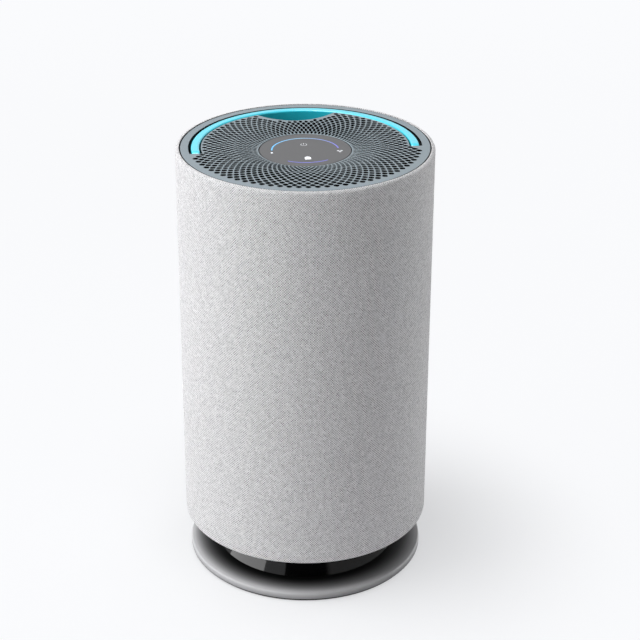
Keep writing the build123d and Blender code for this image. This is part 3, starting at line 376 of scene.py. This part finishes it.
# The outline of the cloth, up the outside and down the inside.
inner_wall = DRUM_RADIUS - CLOTH
wall_rows = [WALL_START + WALL_STEP * i for i in range(WALL_ROWS)]
outside = rounded(DRUM_RADIUS - HEM_ROUND, SLEEVE_BOTTOM + HEM_ROUND, HEM_ROUND, -90, 0, 6)
outside += [(DRUM_RADIUS, z) for z in HEM_ROWS + [INLET_LOW, INLET_HIGH] + wall_rows]
outside += rounded(DRUM_RADIUS - RIM_ROUND, SLEEVE_TOP - RIM_ROUND, RIM_ROUND, 0, 90, 8)
inside = [(LIP_RADIUS, SLEEVE_TOP), (LIP_RADIUS, SLEEVE_TOP - CLOTH)]
inside += rounded(DRUM_RADIUS - RIM_ROUND, SLEEVE_TOP - RIM_ROUND, RIM_ROUND - CLOTH, 90, 0, 4)
inside += [(inner_wall, INLET_HIGH), (inner_wall, INLET_LOW), (inner_wall, SLEEVE_BOTTOM + CLOTH),
           (LIP_RADIUS, SLEEVE_BOTTOM + CLOTH), (LIP_RADIUS, SLEEVE_BOTTOM)]
profile = outside + inside

# Columns across the window and the seam in its middle, then round the rest of the drum.
window_turn = math.degrees(math.asin(INLET_HALF_WIDTH / DRUM_RADIUS))
seam_turn = math.degrees(SEAM_WIDTH / 2 / DRUM_RADIUS)
turns = [window_turn * step for step in (-1.0, -0.75, -0.5, -0.25, 0.25, 0.5, 0.75)]
turns = sorted(turns + [-seam_turn, 0.0, seam_turn])
window_columns = len(turns)
turns += [window_turn + (360 - 2 * window_turn) * i / DRUM_COLUMNS for i in range(DRUM_COLUMNS)]
columns = len(turns)
ring = len(profile)
points = []
for turn in turns:
    c, s = math.cos(math.radians(90 + turn)), math.sin(math.radians(90 + turn))
    for r, z in profile:
        sewn_in = SEAM_DEPTH if turn == 0.0 and r == DRUM_RADIUS else 0.0
        points.append(((r - sewn_in) * c, (r - sewn_in) * s, z))

# Walls all round but for the window, then the window's sill, lintel and two sides.
low_out = profile.index((DRUM_RADIUS, INLET_LOW))
high_out = low_out + 1
high_in = profile.index((inner_wall, INLET_HIGH))
low_in = high_in + 1
faces = []
for i in range(columns):
    a, b = i * ring, (i + 1) % columns * ring
    for k in range(ring):
        n = (k + 1) % ring
        if i < window_columns and k in (low_out, high_in):
            continue
        faces.append((a + k, b + k, b + n, a + n))
for i in range(window_columns):
    a, b = i * ring, (i + 1) * ring
    faces.append((a + low_out, b + low_out, b + low_in, a + low_in))
    faces.append((a + high_out, a + high_in, b + high_in, b + high_out))
faces.append((low_in, high_in, high_out, low_out))
faces.append(tuple(window_columns * ring + k for k in (low_out, high_out, high_in, low_in)))

CLOTH_TONES = [(0.25, (0.22, 0.217, 0.227, 1)), (0.65, (0.79, 0.783, 0.803, 1)),
               (0.98, (0.99, 0.985, 0.995, 1))]
YARNS_ROUND = 640
WEFT_PITCH = 1.28 * MM
WEAVE_DEPTH = 0.0013
HALF_WAY_UP = 0.25
YARN_APART = 7.3
ALONG_YARN = 0.35
WEFT_LAYER = 7.0

# A grid of yarns: its columns run round the drum and its rows up the wall and on over rim and hem.
sleeve_cloth, place = new_finish("sleeve_cloth")
x, y, z = axis(place, "X"), axis(place, "Y"), axis(place, "Z")
turned_in = DRUM_RADIUS * MM - (x * x + y * y) ** 0.5
turn_way = z.maths("GREATER_THAN", HALF_WAY_UP) * 2.0 - 1.0
round_way = x.maths("ARCTAN2", 0 - y) * (YARNS_ROUND / math.tau)
up_way = (z + turned_in * turn_way) * (1 / WEFT_PITCH)
warp = round_way.maths("FLOOR")
weft = up_way.maths("FLOOR")
across = round_way.maths("FRACT") * 2.0 - 1.0
along = up_way.maths("FRACT") * 2.0 - 1.0

# Warp and weft lie on top in turn. Each yarn is crowned, twisted, and of its own uneven tone.
over = (warp + weft).maths("FLOORED_MODULO", 2.0)
warp_crown = (1.0 - across * across * 0.85) * (1.0 - along * along * 0.45)
weft_crown = (1.0 - along * along * 0.85) * (1.0 - across * across * 0.45)
crown = over * warp_crown + (1.0 - over) * weft_crown * 0.3
twist = (over * (across + along * 1.5) + (1.0 - over) * (along + across * 1.5)) * math.tau
ply = twist.maths("COSINE") * 0.5 + 0.5
warp_place = place.node("ShaderNodeCombineXYZ", {},
                        {"X": warp * YARN_APART, "Y": up_way * ALONG_YARN, "Z": 0.0})
weft_place = place.node("ShaderNodeCombineXYZ", {},
                        {"X": round_way * ALONG_YARN, "Y": weft * YARN_APART, "Z": WEFT_LAYER})
yarn_tone = over * warp_place.noise(1.0, detail=3.0) + (1.0 - over) * weft_place.noise(1.0, detail=3.0)
fuzz = place.noise(per_metre=1500.0, roughness=0.7)
patch = place.noise(per_metre=240.0, detail=3.0, roughness=0.6)
# Painted shade: the crown term makes each yarn lighter on its crown and darker towards its edges, where it
# dips between its neighbours.
mottle_and_crown_shade = over * 0.34 + crown * 0.4 + yarn_tone * 0.85 + fuzz * 0.22 + ply * 0.06 + patch * 0.36 - 0.36
cloth_colour = mottle_and_crown_shade.node("ShaderNodeValToRGB", {"stops": CLOTH_TONES}, {"Fac": mottle_and_crown_shade}, "Color")
set_surface(sleeve_cloth, Base_Color=cloth_colour, Roughness=0.95, Specular_IOR_Level=0.15,
            Sheen_Weight=0.25, Sheen_Roughness=0.5,
            Normal=(crown + ply * 0.08 + fuzz * 0.25).bump(strength=1.0, depth=WEAVE_DEPTH))

sleeve = mesh_piece("sleeve_strip", points, faces, [sleeve_cloth], "housing")
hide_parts("fabric_sleeve")

# Outlet plate: a thin black moulded disc, dished towards the display and pierced by staggered rings of
# rounded diamond holes. The handle's slot and the finger pocket are cut out of it in one opening. Its top
# is sprayed satin blue-grey; the walls of the holes below their softened edges and its underside are
# painted black as shade.

PLATE_TOP = 446.7
PLATE_THICKNESS = 2.5
PLATE_RADIUS = 121.0
EYE_RADIUS = 45.4
EDGE_SOFT = 0.22
DISH_RADIUS = 87.0
DISH_BEND = 188.4
SLOT_INNER = 101.0
SLOT_OUTER = 113.4
SLOT_END_Y = -12.7
POCKET_RADIUS = 48.0
POCKET_Y = 122.0
POCKET_RIM = 3.4
HOLES_ROUND = 80
RINGS = 15
FULL_RINGS = 12
INNER_RINGS = 6
SHORT_RINGS = (0, 5, 11)
FRONT_REACH = 18
FIRST_RING = 48.85
RING_STEP = 4.405
HOLE_LENGTH = 6.1
HOLE_SHORTER = 0.4
HOLE_SHARE = 0.68
HOLE_CORNER = 1.3
HOLE_POINTS = 16


def arc(radius, start, end, count, middle_y=0.0):
    """Points along an arc between two angles in degrees, both ends included."""
    turns = [math.radians(start + (end - start) * i / (count - 1)) for i in range(count)]
    return [(radius * math.cos(t), middle_y + radius * math.sin(t)) for t in turns]


def dish_drop(r):
    if r >= DISH_RADIUS:
        return 0.0
    return DISH_BEND - math.sqrt(DISH_BEND ** 2 - (DISH_RADIUS - r) ** 2)


corner_y = (SLOT_INNER ** 2 + POCKET_Y ** 2 - POCKET_RADIUS ** 2) / (2 * POCKET_Y)
corner_turn = math.degrees(math.asin(corner_y / SLOT_INNER))
pocket_turn = math.degrees(math.atan2(corner_y - POCKET_Y, math.sqrt(SLOT_INNER ** 2 - corner_y ** 2)))
outer_end = math.degrees(math.asin(SLOT_END_Y / SLOT_OUTER))
inner_end = math.degrees(math.asin(SLOT_END_Y / SLOT_INNER))
opening = arc(SLOT_OUTER, outer_end, 180 - outer_end, count=120)
opening += arc(SLOT_INNER, 180 - inner_end, 180 - corner_turn, count=54)[:-1]
opening += arc(POCKET_RADIUS, -180 - pocket_turn, pocket_turn, count=40, middle_y=POCKET_Y)
opening += arc(SLOT_INNER, corner_turn, inner_end, count=54)[1:]


def hole_turns(k):
    """Turns in degrees of the holes of ring k. The outer rings keep only the holes at the front."""
    pitch = 360 / HOLES_ROUND
    steps = [i + k % 2 / 2 for i in range(HOLES_ROUND)]
    if k >= FULL_RINGS:
        reach = FRONT_REACH - (k - FULL_RINGS) / 2
        steps = [step for step in steps if min(step, HOLES_ROUND - step) <= reach]
    return [-90 + pitch * step for step in steps]


RIM_LOOP = {0}
OPENING_LOOP = {2}
loops = [arc(PLATE_RADIUS, 0, 360, count=241)[:-1], arc(EYE_RADIUS, 360, 0, count=121)[:-1],
         list(reversed(opening))]
for k in range(RINGS):
    r = FIRST_RING + RING_STEP * k
    half_width = HOLE_SHARE * math.pi * r / HOLES_ROUND
    half_length = HOLE_LENGTH / 2 - (HOLE_SHORTER if k in SHORT_RINGS else 0.0)
    for turn in hole_turns(k):
        c, s = math.cos(math.radians(turn)), math.sin(math.radians(turn))
        if k >= INNER_RINGS and math.hypot(r * c, r * s - POCKET_Y) < POCKET_RADIUS + POCKET_RIM:
            continue
        hole = []
        for i in range(HOLE_POINTS):
            t = -math.tau * i / HOLE_POINTS
            u = half_length * math.copysign(abs(math.cos(t)) ** HOLE_CORNER, math.cos(t))
            v = half_width * math.copysign(abs(math.sin(t)) ** HOLE_CORNER, math.sin(t))
            hole.append(((r + u) * c - v * s, (r + u) * s + v * c))
        loops.append(hole)


def eased(loop, distance):
    """The loop moved to its right, away from the plate's material, by a distance."""
    moved = []
    for i, (px, py) in enumerate(loop):
        (ax, ay), (bx, by) = loop[i - 1], loop[(i + 1) % len(loop)]
        chord = math.hypot(bx - ax, by - ay)
        moved.append((px + distance * (by - ay) / chord, py - distance * (bx - ax) / chord))
    return moved


def is_cut_away(own_loops, px, py):
    """True for a triangle that lies in a hole: all its corners are on that hole's edge."""
    if len(own_loops) > 1 or own_loops == RIM_LOOP:
        return False
    if own_loops != OPENING_LOOP:
        return True
    in_slot = math.hypot(px, py) > SLOT_INNER and py > SLOT_END_Y
    return in_slot or math.hypot(px, py - POCKET_Y) < POCKET_RADIUS


# The top is filled between the loops. Its edges are softened, and the walls go down to the underside.
FILL_ALL = 0
MERGE_WITHIN = 1e-5
top_points = []
loop_edges = []
for loop in loops:
    first = len(top_points)
    top_points += eased(loop, -EDGE_SOFT)
    loop_edges += [(first + i, first + (i + 1) % len(loop)) for i in range(len(loop))]
filled = delaunay_2d_cdt([Vector(p) for p in top_points], loop_edges, [], FILL_ALL, MERGE_WITHIN, True)
top_count = len(top_points)
loop_of = [i for i, loop in enumerate(loops) for p in loop]
wall_points = [p for loop in loops for p in loop]
points = []
for layer, depth in [(top_points, 0.0), (wall_points, EDGE_SOFT), (wall_points, PLATE_THICKNESS)]:
    points += [(px, py, PLATE_TOP - depth - dish_drop(math.hypot(px, py))) for px, py in layer]
faces = []
for face in filled[2]:
    (ax, ay), (bx, by), (cx, cy) = [top_points[i] for i in face]
    if is_cut_away({loop_of[i] for i in face}, (ax + bx + cx) / 3, (ay + by + cy) / 3):
        continue
    if (bx - ax) * (cy - ay) - (by - ay) * (cx - ax) < 0:
        face = list(reversed(face))
    faces.append(tuple(face))
    faces.append(tuple(2 * top_count + i for i in reversed(face)))
# Painted shade: faces marked 1 take the black that stands in for the shade in the holes and underneath.
is_hole_shade = [i % 2 for i in range(len(faces))]
for a, b in loop_edges:
    for upper in (0, top_count):
        lower = upper + top_count
        faces.append((upper + b, upper + a, lower + a, lower + b))
        is_hole_shade.append(1 if upper else 0)

SPRAY_DARK = (0.147, 0.184, 0.207, 1)
SPRAY_PALE = (0.184, 0.226, 0.252, 1)
plate_satin, place = new_finish("plate_satin")
speck = place.noise(per_metre=2600.0, roughness=0.6)
drift = place.noise(per_metre=9.0)
set_surface(plate_satin, Base_Color=(speck * 0.4 + drift * 0.6).mixed(SPRAY_DARK, SPRAY_PALE),
            Roughness=0.32 + drift * 0.08, Normal=speck.bump(strength=0.1, depth=0.0001))
# Painted shade: a dull black for the hole walls and the underside, standing in for the shade there.
hole_shade_black = moulding("hole_shade_black", dark=(0.002, 0.002, 0.002, 1), pale=(0.005, 0.005, 0.005, 1),
                      grain_per_metre=1500.0, roughness=0.85)
set_surface(hole_shade_black, Specular_IOR_Level=0.1)
plate = mesh_piece("outlet_plate", points, faces, [plate_satin, hole_shade_black], "housing",
                   finish_of_face=is_hole_shade)
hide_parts("top_grille")

# Carry handle: a turquoise hoop of solid moulded plastic that swings up on two steel pins.
# Its satin skin is smooth, with a slight flow pattern from the mould.

TURQUOISE_DARK = (0.014, 0.51, 0.645, 1)
TURQUOISE_PALE = (0.024, 0.57, 0.71, 1)

handle_satin, place = new_finish("handle_satin")
flow = place.noise(per_metre=30.0, detail=3.0, roughness=0.6)
skin = place.noise(per_metre=2200.0)
set_surface(handle_satin, Base_Color=flow.mixed(TURQUOISE_DARK, TURQUOISE_PALE),
            Roughness=0.28 + flow * 0.08, Coat_Weight=0.8, Coat_Roughness=0.15,
            Normal=skin.bump(strength=0.06, depth=0.0001))
dress(handle_satin, "carry_handle")

# Display: a smoked disc over the board, with two light guides under it and small signs printed on top.
# Guides and arcs glow from light blue on the left to violet on the right.

SMOKE_DARK = (0.048, 0.048, 0.050, 1)
SMOKE_PALE = (0.060, 0.060, 0.062, 1)
LIGHT_BLUE = (0.08, 0.36, 0.66, 1)
PALE_BLUE = (0.20, 0.36, 0.50, 1)
DEEP_VIOLET = (0.12, 0.11, 0.42, 1)
VIOLET = (0.11, 0.11, 0.42, 1)
BRIGHT_VIOLET = (0.13, 0.13, 0.48, 1)
SIGN_WHITE = (0.82, 0.84, 0.88, 1)
SIGN_GREY = (0.44, 0.45, 0.47, 1)
GLOW_REACH = 0.033
DISC_TOP = 442.05
PRINT_LIFT = 0.04
PRINT_SUNK = 0.02
SPEED_X = 33
SPEED_Y = -7
PETAL_OUT = 1.9
PETAL_TURNS = (0.5, 2.6, 4.7)

smoked_disc, place = new_finish("smoked_disc")
smear = place.noise(per_metre=35.0, detail=4.0, roughness=0.6)
set_surface(smoked_disc, Base_Color=smear.mixed(SMOKE_DARK, SMOKE_PALE), Roughness=0.3 + smear * 0.12)
dress(smoked_disc, "display_window")


def glow(name, left, middle, right, strength):
    """A lit finish whose colour runs across the display from left to right."""
    finish, place = new_finish(name)
    side = axis(place, "X") * (0.5 / GLOW_REACH) + 0.5
    stops = [(0.0, left), (0.5, middle), (1.0, right)]
    colour = side.node("ShaderNodeValToRGB", {"stops": stops}, {"Fac": side}, "Color")
    set_surface(finish, Base_Color=colour, Roughness=0.4, Emission_Color=colour, Emission_Strength=strength)
    return finish


light_arc = glow("light_arc", LIGHT_BLUE, PALE_BLUE, DEEP_VIOLET, strength=0.5)
violet_arc = glow("violet_arc", VIOLET, BRIGHT_VIOLET, VIOLET, strength=0.5)
sign_white = glow("sign_white", SIGN_WHITE, SIGN_WHITE, SIGN_WHITE, strength=0.7)
sign_grey = glow("sign_grey", SIGN_GREY, SIGN_GREY, SIGN_GREY, strength=0.5)
dress(light_arc, "light_guides")


def printed_sign(name, outlines, finish):
    """Thin prints on the display, each from an outline that runs anticlockwise seen from above."""
    points = []
    faces = []
    for outline in outlines:
        count = len(outline)
        top = range(len(points), len(points) + count)
        points += [(px, py, DISC_TOP + PRINT_LIFT) for px, py in outline]
        points += [(px, py, DISC_TOP - PRINT_SUNK) for px, py in outline]
        faces.append(tuple(top))
        faces.append(tuple(i + count for i in reversed(top)))
        for i, j in zip(top, list(top[1:]) + [top[0]]):
            faces.append((i, i + count, j + count, j))
    mesh_piece(name, points, faces, [finish], "housing")


def band(radius, width, start, end, count, middle_y=0.0):
    """The outline of a curved band, from a start to an end angle in degrees."""
    outer = arc(radius + width / 2, start, end, count, middle_y)
    return outer + arc(radius - width / 2, end, start, count, middle_y)


def box(half_width, low, high):
    return [(-half_width, low), (half_width, low), (half_width, high), (-half_width, high)]


def spot(middle_x, middle_y, radius, count=20):
    return [(px + middle_x, py) for px, py in arc(radius, 0, 360, count + 1, middle_y)[:-1]]


upper_band = band(radius=32.5, width=1.4, start=3, end=177, count=90)
printed_sign("arc_upper", [upper_band], light_arc)
lower_band = band(radius=35.3, width=1.2, start=-124, end=-58, count=40)
printed_sign("arc_lower", [lower_band], violet_arc)
power_ring = band(radius=2.9, width=0.6, start=122, end=418, count=40, middle_y=14.4)
power_bar = box(half_width=0.35, low=14.6, high=18.4)
printed_sign("sign_power", [power_ring, power_bar], sign_grey)
lock_body = box(half_width=2.9, low=-26.4, high=-21.6)
shackle = band(radius=1.9, width=0.9, start=0, end=180, count=20, middle_y=-21.55)
printed_sign("sign_lock", [lock_body, shackle], sign_white)
petals = [spot(SPEED_X + PETAL_OUT * math.cos(t), SPEED_Y + PETAL_OUT * math.sin(t), radius=1.3)
          for t in PETAL_TURNS]
printed_sign("sign_speed", petals, sign_grey)
printed_sign("sign_dot", [spot(-33, -5.5, radius=1.1)], sign_white)

# Studio: a pale floor under the purifier, a large soft lamp on its left, one above it and a weak one
# behind its right side, and a cloth flag round the camera, black in front and grey on the right.
# The floor shows nearly white to the camera and keeps the purifier's shadow.

FLOOR_HALF = 14
FLOOR_PALE = (0.85, 0.853, 0.86, 1)
FLOOR_SEEN = (0.66, 0.664, 0.673, 1)
BACKDROP_WHITE = (0.96, 0.967, 0.985, 1)
WHITER_STEPS = [(0.1135, 0.12, 0.61, "LINEAR"), (0.14, 0.36, 0.35, "SMOOTHSTEP"),
                (0.6, 2.4, 0.04, "SMOOTHSTEP")]  # from and to a distance in metres, share, way
ROOM_GREY = (0.93, 0.96, 1.0, 1)
ROOM_STRENGTH = 0.02
FLAG_BLACK = (0.005, 0.005, 0.005, 1)
FLAG_GREY = (0.75, 0.75, 0.75, 1)
FLAG_GREY_START = 0.9
FLAG_GREY_END = 1.2
FLAG_DISTANCE = 2.6
FLAG_BOTTOM = 0.02
FLAG_TOP = 2.6
FLAG_START = -32
FLAG_SPAN = 150
FLAG_PANELS = 30


def seen_directly(tree):
    """1 for what the camera sees, also in a mirror or through glass, and 0 for what lights the scene."""
    ray = tree.nodes.new("ShaderNodeLightPath")
    seen = Wire(ray.outputs["Is Camera Ray"])
    for kind in ("Is Glossy Ray", "Is Transmission Ray"):
        seen = seen.maths("MAXIMUM", Wire(ray.outputs[kind]))
    return seen


def stage_piece(name, points, faces, finish):
    mesh = bpy.data.meshes.new(name)
    mesh.from_pydata(points, [], faces)
    mesh.materials.append(finish)
    piece = bpy.data.objects.new(name, mesh)
    bpy.context.collection.objects.link(piece)
    return piece


floor_paper, place = new_finish("floor_paper")
tree = floor_paper.node_tree
seen = seen_directly(tree)
set_surface(floor_paper, Base_Color=seen.mixed(FLOOR_PALE, FLOOR_SEEN), Roughness=0.9,
            Specular_IOR_Level=0.0)
whiter = sum(rise(length(place), *step) for step in WHITER_STEPS)
paper = Wire(tree.nodes["Principled BSDF"].outputs[0])
white = seen.node("ShaderNodeEmission", {}, {"Color": BACKDROP_WHITE, "Strength": 1.0})
shown = seen.node("ShaderNodeMixShader", {}, {"Fac": seen * whiter, "Shader": paper, "Shader_001": white})
plug(tree.nodes["Material Output"].inputs["Surface"], shown)
corners = [(-FLOOR_HALF, -FLOOR_HALF, 0), (FLOOR_HALF, -FLOOR_HALF, 0), (FLOOR_HALF, FLOOR_HALF, 0),
           (-FLOOR_HALF, FLOOR_HALF, 0)]
stage_piece("studio_floor", corners, [(0, 1, 2, 3)], floor_paper)

world = bpy.data.worlds.new("studio")
bpy.context.scene.world = world
world.use_nodes = True
tree = world.node_tree
room = tree.nodes["Background"]
plug(room.inputs["Color"], ROOM_GREY)
plug(room.inputs["Strength"], ROOM_STRENGTH)
seen = seen_directly(tree)
white = seen.node("ShaderNodeBackground", {}, {"Color": BACKDROP_WHITE, "Strength": 1.0})
shown = seen.node("ShaderNodeMixShader", {},
                  {"Fac": seen, "Shader": Wire(room.outputs[0]), "Shader_001": white})
plug(tree.nodes["World Output"].inputs["Surface"], shown)

flag_cloth, place = new_finish("flag_cloth")
rightward = rise(axis(place, "X"), FLAG_GREY_START, FLAG_GREY_END)
set_surface(flag_cloth, Base_Color=rightward.mixed(FLAG_BLACK, FLAG_GREY), Roughness=1.0,
            Specular_IOR_Level=0.0)
flag_turns = [math.radians(FLAG_START + FLAG_SPAN * i / FLAG_PANELS) for i in range(FLAG_PANELS + 1)]
flag_points = [(FLAG_DISTANCE * math.sin(t), -FLAG_DISTANCE * math.cos(t), z)
               for t in flag_turns for z in (FLAG_BOTTOM, FLAG_TOP)]
flag_faces = [(2 * i, 2 * i + 2, 2 * i + 3, 2 * i + 1) for i in range(FLAG_PANELS)]
flag = stage_piece("studio_flag", flag_points, flag_faces, flag_cloth)
flag.visible_camera = False


def soft_lamp(name, place, aim, width, height, power):
    lamp = bpy.data.lights.new(name, "AREA")
    lamp.shape = "RECTANGLE"
    lamp.size = width
    lamp.size_y = height
    lamp.energy = power
    stand = bpy.data.objects.new(name, lamp)
    stand.location = place
    stand.rotation_euler = (Vector(aim) - Vector(place)).to_track_quat("-Z", "Y").to_euler()
    stand.visible_camera = False
    bpy.context.collection.objects.link(stand)


soft_lamp("lamp_left", place=(-1.66, -0.15, 0.95), aim=(0, 0, 0.24), width=1.7, height=1.5, power=39)
soft_lamp("lamp_above", place=(-0.45, -0.25, 2.35), aim=(0, 0, 0.4), width=1.5, height=1.2, power=48)
soft_lamp("lamp_back", place=(1.5, 0.9, 0.32), aim=(0, 0, 0.27), width=0.8, height=0.5, power=14)

camera = bpy.data.cameras.new("camera")
camera.lens = 101.36
camera.sensor_width = 36.0
camera.shift_x = 0.02305
stand = bpy.data.objects.new("camera", camera)
stand.location = (-0.1722, -1.6384, 1.0479)
stand.rotation_euler = (math.radians(64.41), 0.0, math.radians(-6.0))
bpy.context.collection.objects.link(stand)
bpy.context.scene.camera = stand
bpy.context.scene.view_settings.view_transform = "Standard"
